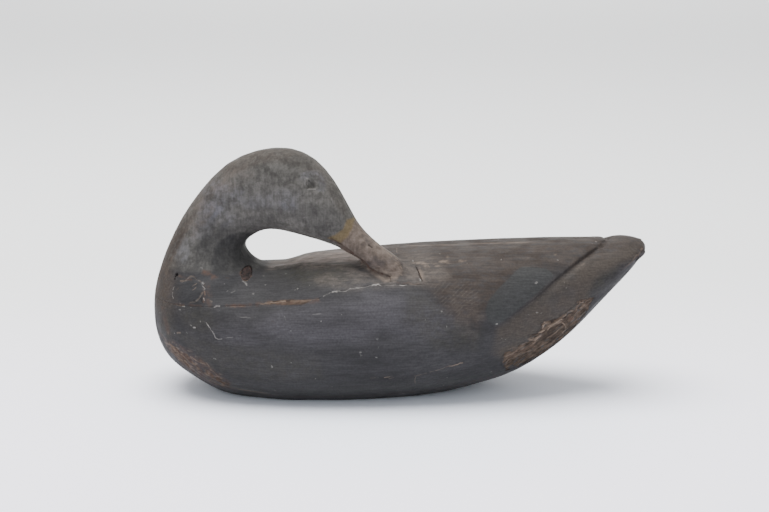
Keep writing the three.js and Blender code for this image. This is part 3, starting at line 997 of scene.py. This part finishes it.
def paleMarks(points, loose):
    ring, _, _ = knotMark(points)
    flecks = softStep(lumps(points, 1.7, 48), 0.3, 0.6) * softStep(points[:, 0] + points[:, 2], -82, -70)
    side, _, opened = crackSides(loose)
    bits = fade(np.abs(side + 0.7), 0.1, 0.8) * softStep(opened, 0.1, 0.4) * fade(opened, 0.7, 0.95)
    return np.maximum.reduce([
        stroked(loose, "pale", 81),
        0.5 * fade(ring, 0.2, 1.1) * flecks,
        0.8 * bits * softStep(lumps(points, 2.4, 82), -0.2, 0.3),
    ])


def tanMarks(points, loose, normals):
    _, arris = darkBack(points)
    side, along, _ = crackSides(loose)
    wedge = softStep(side, 0.3, 0.7) * fade(side, 2.2, 3.4) * softStep(along, 17, 22) * fade(along, 32, 38)
    low, lowAlong = acrossLine(points, normals, marks["bottomEdge"])
    tail, tailAlong = acrossLine(loose, normals, marks["tailRim"])
    ring, broken, _ = knotMark(points)
    specks = softStep(lumps(points, 1.5, 85), 0.25, 0.5) * fade(awayFrom(points, plug["mouth"]), 4, 6.5)
    worn = 0.8 * softStep(lumps(points, (3.2, 2, 1.5), 85), 0.16, 0.5) * breastWorn(points)
    return np.maximum.reduce([
        0.85 * stroked(loose, "tan", 83),
        stroked(loose, "flakes", 9),
        backStroked(loose),
        0.3 * arris * softStep(lumps(points, (14, 3, 3), 84), -0.6, 0.2),
        0.35 * wedge,
        0.35 * fade(np.abs(low + 0.6), 0.2, 1.2) * fade(lowAlong, 30, 48),
        0.22 * fade(np.abs(tail + 0.4), 0.1, 0.9) * fade(tailAlong, 20, 34),
        0.3 * fade(ring, 0.3, 1.1) * broken,
        0.4 * np.maximum(specks, worn),
    ])


def bareWood(points, loose):
    under, _ = seamAway(loose)
    left = lumps(slanted(points, "tailGrain"), (6, 4, 2.2), 92) + 0.4 * lumps(points, 1.8, 93)
    split = 0.8 * (1 - 0.6 * softStep(points[:, 0], -80, -62))
    patchy = lumps(slanted(points, "breastGrain"), (10, 7, 3), 44) + 0.4 * lumps(points, 2.2, 45)
    seamBits = fade(under, 0.2, 1.0) * softStep(lumps(points, (7, 6, 3), 47), 0.0, 0.45)
    mouth = np.where(points[:, 1] < marks["billSide"], sideLine(loose, "mouth"), 99)
    lip = np.interp(points[:, 0], [-56, -50, -36, -30, -22, -14], [0.5, 0.6, 0.55, 0.5, 0.4, 0])
    return np.maximum.reduce([
        softStep(chipInside(points), -0.5, 0.9) * (0.4 + 0.6 * softStep(left, -0.45, 0.0)),
        split * softStep(sliverInside(points), -1.2, 1.6),
        0.62 * breastWorn(points) * softStep(patchy, -0.5, 0.5),
        0.55 * fade(awayFrom(loose, plug["mouth"]), 4.4, 6.2),
        0.5 * seamBits * (points[:, 0] < -112),
        lip * fade(mouth, 0.4, 1.5),
    ])


def woodTone(points):
    # how pale the bare wood is
    chip = 0.24 + 0.14 * lumps(slanted(points, "tailGrain"), (7, 5, 2), 49)
    chip += 0.22 * lumps(points, (4, 4, 2.6), 90) + 0.2 * lumps(points, (1.9, 2, 1.4), 91)
    chip -= 0.1 * fade(sideLine(points, "chipHollow"), 3.5, 6)
    tone = np.where(sideOutline(points, "tailChip") > -6, chip, 0.27 + 0.20 * lumps(points, (14, 5, 1.2), 50))
    tone = np.where(breastWorn(points) > 0, 0.22 + 0.18 * lumps(points, (5, 4, 2), 86), tone)
    return np.clip(tone, 0, 1)


def rustStain(points, loose):
    around = 0.7 * fade(awayFrom(loose, plug["mouth"]), 3.5, 6.5)
    return np.maximum.reduce([stroked(loose, "rust", 87), 0.4 * breastWorn(points), around])


def darkMarksAndShade(points, loose, normals):
    # cracks, holes, the seam line and dark strokes, with painted shade in the wing's step, under the bill and
    # beyond the back's arris
    x, y, z = points.T
    wing, along = wingSide(points, normals)
    wide = np.interp(along, [0, 12, 34, 62, 95, 122], [0.4, 0.7, 1.0, 0.9, 0.6, 0.35])
    under, behind = seamAway(points)
    side, _, opened = crackSides(loose)
    eye = np.hypot(loose[:, 0] - marks["eye"][0] - 0.6, loose[:, 2] - marks["eye"][1])
    beyond, _ = darkBack(points)
    blots = softStep(lumps(points, 2.2, 88), 0.15, 0.5) * fade(awayFrom(points, plug["mouth"]), 4, 6)
    edge = sideOutline(points, "tailChip") + 1.5 * lumps(points, 3, 89)
    return np.maximum.reduce([
        # painted shade on the wing's step
        0.34 * fade(np.abs(wing + 0.3), 0.3 * wide, 1.3 * wide) * fade(along, 112, 124),
        fade(under, 0.05, 0.5) * np.where(x < -62, 0.45, 0.2) * fade(sliverInside(points), -0.5, 0.5),
        0.08 * fade(behind, 0.1, 0.5) * (y > -18),
        fade(np.abs(side), 0.15, 0.75) * opened,
        *[fade(awayFrom(loose, spot), 0.5 * size, 1.3 * size) for *spot, size in marks["nailHoles"]],
        0.26 * fade(np.where(z > marks["faceFrom"], eye, 99), 1.0, 3.4),
        0.6 * fade(sideLine(points, "nostril"), 0.2, 0.9),
        np.where(y < marks["billSide"], 0.18 * fade(sideLine(loose, "mouth"), 0.1, 0.7), 0),
        # painted shadow in the hollow under the bill
        np.where(y < marks["billSide"], 0.3 * fade(sideLine(loose, "underBill"), 0.2, 1.2), 0),
        # painted shade beyond the back's arris
        0.28 * beyond,
        0.6 * blots,
        stroked(loose, "dark", 73),
        0.3 * fade(np.abs(edge + 0.3), 0.2, 1.2),
    ])


def outlined(distance, reach):
    # 0.5 on the outline, rising to 1 inside, for an edge that the paint tears up
    return 0.5 + np.clip(distance / reach, -0.5, 0.5)


def paintMasks(points, loose, normals):
    folded = mirrored(points)
    x, y, z = points.T
    onBill = softStep(insideOutline(folded, marks["bill"]), -1.2, 1.2)
    head = np.maximum(softStep(z, 97, 108) * (x < -104), softStep(z, 112, 118) * (x < 0))
    ring = np.hypot(x - marks["eye"][0], z - marks["eye"][1] + 1)
    ring = 0.6 * fade(np.abs(ring - 9), 1, 4) * (z > 168) * softStep(x + z, 96, 108)
    behindBill = softStep(insideOutline(points, areas["behindBill"], (0, 1)), -2, 2)
    behindBill = 0.5 * np.where((z > 100) & (y < 0), behindBill, 0)
    patch = outlined(insideOutline(folded, areas["patch"]), 6)
    return {
        "headPaint": np.clip(head, 0, 1),
        "billPaint": np.where((y < marks["billSide"]) | (z > 118), onBill, 0),
        "ochrePaint": outlined(np.where(y < -10, insideOutline(points, areas["ochre"]), -9), 5),
        "bluePaint": np.maximum(inAreas(points, "paleNeck", 4.5), ring),
        "darkPatchesAndShadeMask": np.maximum(inAreas(points, "darkPatchesAndShade", 3.5), behindBill),
        "olivePaint": inAreas(points, "olive", 7),
        "purplePaint": inAreas(points, "purple", 10),
        "patchPaint": np.where(normals[:, 2] > -0.3, patch, 0),
        "tailSide": inAreas(points, "tailSide", 5),
        "brownRub": brownRub(points, normals),
        # painted shade with brown wear on the outer rim
        "rimShadeAndRub": rimShadeAndRub(points, normals),
        # worn pale with painted light on the block's top
        "plankWearAndLight": plankWearAndLightArea(points),
        # painted light: downward-facing surfaces near the bottom made paler, as if lit from the floor
        "lowEdgeLight": softStep(-normals[:, 2], 0.3, 0.95) * fade(z, 14, 26),
        # pale scuffs, with painted light below the bill
        "scuffsAndLight": inAreas(points, "scuffsAndLight", 5) * np.where(y < 0, 1, 0.4),
        "combMarks": softStep(insideOutline(folded, areas["comb"]), -3, 5),
        "paleMarks": paleMarks(points, loose),
        "tanMarks": tanMarks(points, loose, normals),
        "bareWood": bareWood(points, loose),
        "woodTone": woodTone(points),
        "rustStain": rustStain(points, loose),
        "darkMarksAndShade": darkMarksAndShade(points, loose, normals),
    }


# Materials

paint = {
    "bodyDark": (0.0163, 0.0155, 0.0160),
    "bodyPale": (0.0372, 0.0355, 0.0368),
    "headDark": (0.0306, 0.0288, 0.0258),
    "headPale": (0.0888, 0.0840, 0.0768),
    # dark neck paint, also used for painted shade
    "blue": (0.0874, 0.0874, 0.0997),
    "darkPatchesAndShade": (0.0138, 0.0138, 0.0151),
    "olive": (0.0305, 0.0288, 0.0236),
    "purple": (0.0560, 0.0525, 0.0580),
    "brown": (0.0250, 0.0190, 0.0158),
    "brownPale": (0.0360, 0.0278, 0.0232),
    # the block's top: a worn pale colour that is also painted light
    "plank": (0.0880, 0.0715, 0.0630),
    "plankPale": (0.1450, 0.1170, 0.1020),
    # the outer rim's brown, darker as painted shade
    "edge": (0.0200, 0.0151, 0.0121),
    "edgePale": (0.0356, 0.0275, 0.0221),
    "tailSide": (0.0425, 0.0354, 0.0298),
    # painted light for the low, downward-facing surfaces
    "lowEdgeLight": (0.0620, 0.0595, 0.0590),
    "patch": (0.0262, 0.0268, 0.0262),
    "bill": (0.0594, 0.0465, 0.0381),
    "billPale": (0.0941, 0.0745, 0.0616),
    "billGrey": (0.0374, 0.0336, 0.0341),
    "ochre": (0.0874, 0.0638, 0.0314),
    "rust": (0.0560, 0.0325, 0.0240),
    "wood": (0.0220, 0.0160, 0.0122),
    "woodPale": (0.1102, 0.0799, 0.0594),
    "tan": (0.1700, 0.1280, 0.0980),
    "chalk": (0.2500, 0.2350, 0.2200),
    # the dark colour for cracks and holes, also used for painted shade
    "crack": (0.0050, 0.0040, 0.0035),
    "scuff": (0.0830, 0.0710, 0.0620),
    "rough": (0.60, 0.86),
    "woodRough": 0.85,
    "specular": 0.12,
    "combSlope": 38,  # degrees
}

# The patterns that break the paint up: scale, stretch, detail and shift
patterns = {
    "clouds": (20, (0.7, 1, 1.3), 4),
    "mottle": (85, (0.8, 1, 1), 4, (3, 1, 2)),
    "flecks": (210, (1, 1, 1), 4, (5, 6, 1)),
    "grit": (620, (1, 1, 1), 2),
    "drags": (230, (0.10, 0.8, 1), 3, (1, 5, 2)),
    "hairs": (900, (0.06, 0.7, 1), 2, (4, 0, 2)),
    "hatch": (560, (1, 1, 0.11), 2, (2, 2, 7)),
    "breaks": (300, (0.5, 1, 1), 5, (7, 2, 9)),
}


def add(tree, kind, inputs=None, **settings):
    made = tree.nodes.new(kind)
    for name, value in settings.items():
        setattr(made, name, value)
    for name, value in (inputs or {}).items():
        put(tree, made.inputs[name], value)
    return made


def put(tree, socket, value):
    if isinstance(value, bpy.types.NodeSocket):
        tree.links.new(value, socket)
    else:
        socket.default_value = value


def leant(tree, place, angle):
    turn = (0, math.radians(angle), 0)
    return add(tree, "ShaderNodeMapping", {"Vector": place, "Rotation": turn}).outputs[0]


def noise(tree, place, scale, stretch, detail, shift=(0, 0, 0), distortion=0.0):
    moved = add(tree, "ShaderNodeMapping", {"Vector": place, "Scale": stretch, "Location": shift})
    return add(tree, "ShaderNodeTexNoise", {
        "Vector": moved.outputs["Vector"], "Scale": scale, "Detail": detail, "Distortion": distortion,
    }).outputs["Fac"]


def spread(tree, value, low, high, start=0.0, end=1.0):
    return add(
        tree, "ShaderNodeMapRange",
        {"Value": value, "From Min": low, "From Max": high, "To Min": start, "To Max": end},
        interpolation_type="SMOOTHSTEP",
    ).outputs["Result"]


def maths(tree, operation, first, *others):
    for other in others:
        first = add(tree, "ShaderNodeMath", {0: first, 1: other}, operation=operation).outputs[0]
    return first


def blend(tree, share, first, second, kind="MIX"):
    # mixes two colours, each a socket, three numbers or a name in the paint dictionary
    made = add(tree, "ShaderNodeMix", {"Factor": share}, data_type="RGBA", blend_type=kind)
    for index, value in ((6, first), (7, second)):
        value = paint[value] if isinstance(value, str) else value
        put(tree, made.inputs[index], (*value, 1) if isinstance(value, tuple) else value)
    return made.outputs[2]


def greyed(tree, colour, value, low, high, share=1.0):
    # darkens and lightens a colour by a pattern
    made = add(tree, "ShaderNodeCombineColor")
    grey = spread(tree, value, 0.25, 0.75, low, high)
    for name in ("Red", "Green", "Blue"):
        tree.links.new(grey, made.inputs[name])
    return blend(tree, share, colour, made.outputs[0], "MULTIPLY")


def area(tree, name):
    return add(tree, "ShaderNodeAttribute", attribute_name=name).outputs["Fac"]


def torn(tree, name, pattern, amount, soft):
    # an area with its edge broken up by a pattern
    uneven = maths(tree, "MULTIPLY_ADD", pattern, amount)
    uneven.node.inputs[2].default_value = -amount / 2
    return spread(tree, maths(tree, "ADD", area(tree, name), uneven), 0.5 - soft, 0.5 + soft)


def newMaterial(name):
    made = bpy.data.materials.new(name)
    made.use_nodes = True
    tree = made.node_tree
    return made, tree, tree.nodes["Principled BSDF"], add(tree, "ShaderNodeTexCoord").outputs["Object"]


def finished(tree, shader, colour, rough, specular, height=None, distance=0.0):
    put(tree, shader.inputs["Base Color"], colour)
    put(tree, shader.inputs["Roughness"], rough)
    put(tree, shader.inputs["Specular IOR Level"], specular)
    if height is not None:
        made = add(tree, "ShaderNodeBump", {"Height": height, "Distance": distance, "Strength": 1.0})
        put(tree, shader.inputs["Normal"], made.outputs["Normal"])


def wornPaintWithPaintedLight():
    # the decoy's worn paint, which also holds painted light and shade
    made, tree, shader, place = newMaterial("wornPaintWithPaintedLight")
    at = {name: noise(tree, place, *values) for name, values in patterns.items()}
    at["slant"] = noise(tree, leant(tree, place, marks["tailGrain"]), 380, (0.12, 0.6, 1), 4, distortion=0.3)

    def by(name, *reach):
        return spread(tree, at[name], *reach)

    def laid(under, over, where, *breaks):
        # a colour over another where an area or a share says so, broken up by patterns
        share = area(tree, where) if isinstance(where, str) else where
        share = maths(tree, "MULTIPLY", share, *[by(*reach) for reach in breaks])
        return blend(tree, share, under, over)

    # the body's and the head's paint: dark, with paler drags of the brush and clouds; the dark neck patches
    # carry painted shade in the loop and under the tail, and the low edge painted light
    tone = maths(
        tree, "ADD",
        by("clouds", 0.30, 0.72, 0, 0.50), by("mottle", 0.3, 0.7, 0, 0.28), by("drags", 0.35, 0.7, 0, 0.21),
    )
    body = blend(tree, tone, "bodyDark", "bodyPale")
    body = laid(body, "purple", "purplePaint", ("clouds", 0.32, 0.66, 0.18, 0.58))
    tone = maths(
        tree, "ADD",
        by("clouds", 0.32, 0.68, 0.06, 0.34), by("mottle", 0.35, 0.65, 0.05, 0.28),
        by("flecks", 0.34, 0.66, -0.10, 0.36),
    )
    head = blend(tree, tone, "headDark", "headPale")
    colour = blend(tree, torn(tree, "headPaint", at["mottle"], 0.7, 0.3), body, head)
    clouded = ("mottle", 0.32, 0.60, 0.25, 0.95), ("flecks", 0.36, 0.60, 0.25, 0.85)
    colour = laid(colour, "blue", "bluePaint", *clouded)
    # dark patches, with painted shade in the loop and along the tail's lower edge
    colour = laid(colour, "darkPatchesAndShade", "darkPatchesAndShadeMask", ("mottle", 0.30, 0.52, 0.55, 0.92))
    colour = laid(colour, "olive", "olivePaint", ("flecks", 0.36, 0.60, 0.35, 1))
    # painted light on the low, downward-facing surfaces near the bottom
    colour = laid(colour, "lowEdgeLight", maths(tree, "MULTIPLY", area(tree, "lowEdgeLight"), 0.7))

    # brown where hands and weather thinned it, with painted light on the block's top and below the bill, and
    # painted shade on the outer rim of the neck and head
    rubbed = blend(tree, by("drags", 0.26, 0.76), "brown", "brownPale")
    rubbed = blend(tree, by("mottle", 0.44, 0.70, 0, 0.6), rubbed, "brown")
    colour = laid(colour, rubbed, "brownRub", ("breaks", 0.30, 0.58, 0.45, 1))
    # the block's top, worn and painted lighter as painted light
    plank = blend(tree, by("hairs", 0.3, 0.7), "plank", "plankPale")
    colour = laid(colour, plank, "plankWearAndLight", ("drags", 0.30, 0.55, 0.5, 1))
    colour = laid(colour, "tailSide", "tailSide", ("mottle", 0.34, 0.6, 0.6, 1))
    # the outer rim of the neck and head: brown wear and painted shade
    edge = blend(tree, by("mottle", 0.34, 0.66), "edge", "edgePale")
    colour = laid(colour, edge, "rimShadeAndRub", ("breaks", 0.30, 0.55, 0.6, 1))
    # pale scuffs, and painted light over the shade below the bill
    scuffAndLightBreaks = ("mottle", 0.34, 0.62, 0.1, 0.75), ("breaks", 0.34, 0.60, 0.55, 1)
    colour = laid(colour, "scuff", "scuffsAndLight", *scuffAndLightBreaks)
    patch = blend(tree, by("mottle", 0.3, 0.7, 0.0, 0.25), "patch", "bodyPale")
    edge = torn(tree, "patchPaint", at["breaks"], 0.16, 0.12)
    colour = laid(colour, patch, maths(tree, "MULTIPLY", edge, 0.88))
    bill = blend(tree, by("flecks", 0.34, 0.66), "bill", "billPale")
    bill = blend(tree, by("mottle", 0.50, 0.66, 0, 0.5), bill, "billGrey")
    colour = laid(colour, bill, "billPaint")
    edge = torn(tree, "ochrePaint", at["breaks"], 0.5, 0.25)
    colour = laid(colour, "ochre", maths(tree, "MULTIPLY", edge, 0.8))

    # comb marks like feathers
    at["combs"] = add(tree, "ShaderNodeTexWave", {
        "Vector": leant(tree, place, paint["combSlope"]),
        "Scale": 120, "Distortion": 9, "Detail": 2, "Detail Scale": 0.3,
    }, bands_direction="Z").outputs["Fac"]
    colour = laid(colour, "scuff", "combMarks", ("combs", 0.5, 0.95, 0, 0.2), ("flecks", 0.38, 0.60))
    offHead = maths(tree, "SUBTRACT", 1.0, area(tree, "headPaint"))
    colour = greyed(tree, colour, at["grit"], 0.88, 1.13)
    colour = greyed(tree, colour, at["hairs"], 0.86, 1.16, offHead)
    colour = greyed(tree, colour, at["hatch"], 0.87, 1.13, area(tree, "headPaint"))

    # small nicks all over, then the bare wood, the pale scratches, and the cracks and dark marks with their
    # painted shade
    nicks = maths(tree, "MULTIPLY", by("breaks", 0.68, 0.76), by("clouds", 0.46, 0.66), 0.55)
    colour = laid(colour, "brownPale", nicks)
    specks = maths(tree, "MULTIPLY", by("flecks", 0.685, 0.72), by("drags", 0.46, 0.56), offHead, 0.28)
    colour = laid(colour, "chalk", specks)
    woodShare = maths(tree, "ADD", area(tree, "woodTone"), by("slant", 0.32, 0.68, -0.18, 0.22))
    bare = torn(tree, "bareWood", at["breaks"], 0.6, 0.2)
    colour = laid(colour, blend(tree, woodShare, "wood", "woodPale"), bare)
    colour = laid(colour, "rust", "rustStain", ("flecks", 0.34, 0.58, 0.15, 0.95))
    colour = laid(colour, "tan", "tanMarks", ("breaks", 0.34, 0.56, 0.2, 1))
    colour = laid(colour, "chalk", "paleMarks", ("breaks", 0.34, 0.56, 0.25, 1))
    # dark marks, with painted shade
    colour = laid(colour, "crack", "darkMarksAndShade", ("flecks", 0.30, 0.55, 0.65, 1))

    rough = by("mottle", 0.3, 0.7, *paint["rough"])
    rough = add(tree, "ShaderNodeMix", {"Factor": bare, "A": rough, "B": paint["woodRough"]}).outputs[0]
    height = maths(
        tree, "ADD",
        maths(tree, "MULTIPLY", at["drags"], 0.45), maths(tree, "MULTIPLY", at["hairs"], 0.22),
        maths(tree, "MULTIPLY", at["grit"], 0.16), maths(tree, "MULTIPLY", at["slant"], bare, 1.1),
    )
    finished(tree, shader, colour, rough, paint["specular"], height, 0.00045)
    return made


def woodOf(name, dark, pale, stretch, scale=420):
    made, tree, shader, place = newMaterial(name)
    grain = noise(tree, place, scale, stretch, 4, distortion=0.5)
    colour = blend(tree, spread(tree, grain, 0.32, 0.72), dark, pale)
    colour = greyed(tree, colour, noise(tree, place, 160, (1, 1, 1), 3), 0.6, 1.25)
    finished(tree, shader, colour, 0.82, 0.3, grain, 0.0004)
    return made


coatWithPaintedLight = wornPaintWithPaintedLight()
seamWood = woodOf("sawnWood", (0.06, 0.04, 0.026), (0.16, 0.11, 0.075), (0.06, 0.6, 1))
plugWood = woodOf("plugWood", (0.009, 0.006, 0.0052), (0.046, 0.026, 0.022), (1, 0.2, 1), 620)
print("materials made")


# The plug in the neck

def makePlug():
    # a rod cut off flush with the carved surface, its end grain worn a little hollow
    made = rod("neck_plug_wood", plug["radius"], (plug["innerEnd"], plug["outerEnd"]), 40)
    cutWith(made, form, "INTERSECT")
    cleaned(made)
    bpy.ops.mesh.quads_convert_to_tris()
    bpy.ops.object.mode_set(mode="OBJECT")
    for _ in range(plug["cuts"]):
        halved(made, [
            face.normal.y < -0.1 and face.normal.z > 0.1 and face.area > 1e-7 for face in made.data.polygons
        ])
        bpy.ops.mesh.quads_convert_to_tris()
        bpy.ops.object.mode_set(mode="OBJECT")
    points = pointsOf(made)
    away, normals = skinOf(points)
    worn = -0.15 - 0.5 * softStep(fromPlug(points), plug["radius"] - 0.6, plug["radius"])
    worn += 0.3 * lumps(points, (1.3, 3, 1.5), 51)
    movePoints(made, points + normals * (worn * (away < 0.1))[:, None])
    onlySelect(made)
    bpy.ops.object.shade_smooth_by_angle(angle=fineness["plugAngle"])
    made.data.materials.append(plugWood)
    return made


for piece in (decoyBody, decoyHead):
    piece.data.materials.clear()
    piece.data.materials.append(coatWithPaintedLight)
    piece.data.materials.append(seamWood)
    worked(piece)
neckPlug = makePlug()
bpy.data.objects.remove(form)
for piece in (decoyBody, decoyHead, neckPlug):
    piece.data.calc_loop_triangles()
    print(piece.name, len(piece.data.loop_triangles), "triangles")


# Floor and light: a white tent that is brighter round its sides, one soft lamp overhead and one far behind

studio = {
    "floorSize": 14.0,
    # painted shadow: a darker, bluish floor close round the decoy
    "floorShadowBlue": (0.86, 0.895, 0.985),
    # painted light and shade: the floor paler near the camera and far off, darker in between
    "floorLitNear": (0.912, 0.892, 0.975),
    "floorShadedMiddle": (0.74, 0.742, 0.745),
    "floorLitFar": (0.98, 0.98, 0.98),
    "sky": 1.0,  # strength overhead
    "sides": 2.6,  # strength at the tent's foot
    "front": -0.5,  # less on the camera's side
    "coolFront": (0.91, 0.96, 1.0),
    "warmBack": (1.0, 0.985, 0.965),
    "lamps": [
        {"name": "softTop", "size": 2.8, "place": (-0.4, 0.2, 2.7), "power": 212, "aim": (0, 0, 0.1)},
        {"name": "softFar", "size": 3.0, "place": (0, 5.5, 2.6), "power": 60, "aim": (0, 5.5, 0)},
    ],
}


def setFloor():
    bpy.ops.object.select_all(action="DESELECT")
    bpy.ops.mesh.primitive_circle_add(vertices=96, radius=studio["floorSize"], fill_type="NGON")
    floor = bpy.context.object
    floor.name = "floor"
    pale, tree, shader, place = newMaterial("paleFloor")
    # the floor's colour holds painted light and shade: a bluish painted shadow round the decoy, paler near
    # and far, darker between
    away = add(tree, "ShaderNodeSeparateXYZ", {0: place}).outputs["Y"]
    around = add(tree, "ShaderNodeVectorMath", {0: place}, operation="LENGTH").outputs["Value"]
    near = blend(tree, spread(tree, around, 0.10, 0.32), studio["floorShadowBlue"], studio["floorLitNear"])
    middle = blend(tree, spread(tree, away, -0.25, 0.5), near, studio["floorShadedMiddle"])
    finished(tree, shader, blend(tree, spread(tree, away, 1.2, 5.0), middle, studio["floorLitFar"]), 0.9, 0.1)
    floor.data.materials.append(pale)


def setTent():
    world = bpy.data.worlds.new("tent")
    bpy.context.scene.world = world
    world.use_nodes = True
    tree = world.node_tree
    around = add(tree, "ShaderNodeTexCoord").outputs["Generated"]
    way = add(tree, "ShaderNodeSeparateXYZ", {0: around}).outputs
    fall = maths(tree, "POWER", maths(tree, "SUBTRACT", 1.0, maths(tree, "MAXIMUM", way["Z"], 0.0)), 2.0)
    light = add(tree, "ShaderNodeMix", {"Factor": fall, "A": studio["sky"], "B": studio["sides"]}).outputs[0]
    front = maths(tree, "MULTIPLY", maths(tree, "MINIMUM", way["Y"], 0.0), -studio["front"])
    tint = blend(tree, spread(tree, way["Y"], -1, 1), studio["coolFront"], studio["warmBack"])
    sky = tree.nodes["Background"].inputs
    put(tree, sky["Color"], tint)
    put(tree, sky["Strength"], maths(tree, "ADD", light, front))


def setLamps():
    for lamp in studio["lamps"]:
        data = bpy.data.lights.new(lamp["name"], "AREA")
        data.shape = "DISK"
        data.size = lamp["size"]
        data.energy = lamp["power"]
        placed(lamp["name"], data, lamp["place"], Vector(lamp["aim"]) - Vector(lamp["place"]))


setFloor()
setTent()
setLamps()
print("stage set")


# What each piece rides on and stands for

for piece, node, finish in (
    (decoyBody, "body", "body_paint"),
    (decoyHead, "head", "head_paint"),
    (neckPlug, "neck_plug", "plug_wood"),
):
    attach(piece, "root")
    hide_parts(node)

print("pieces ride on the frame")
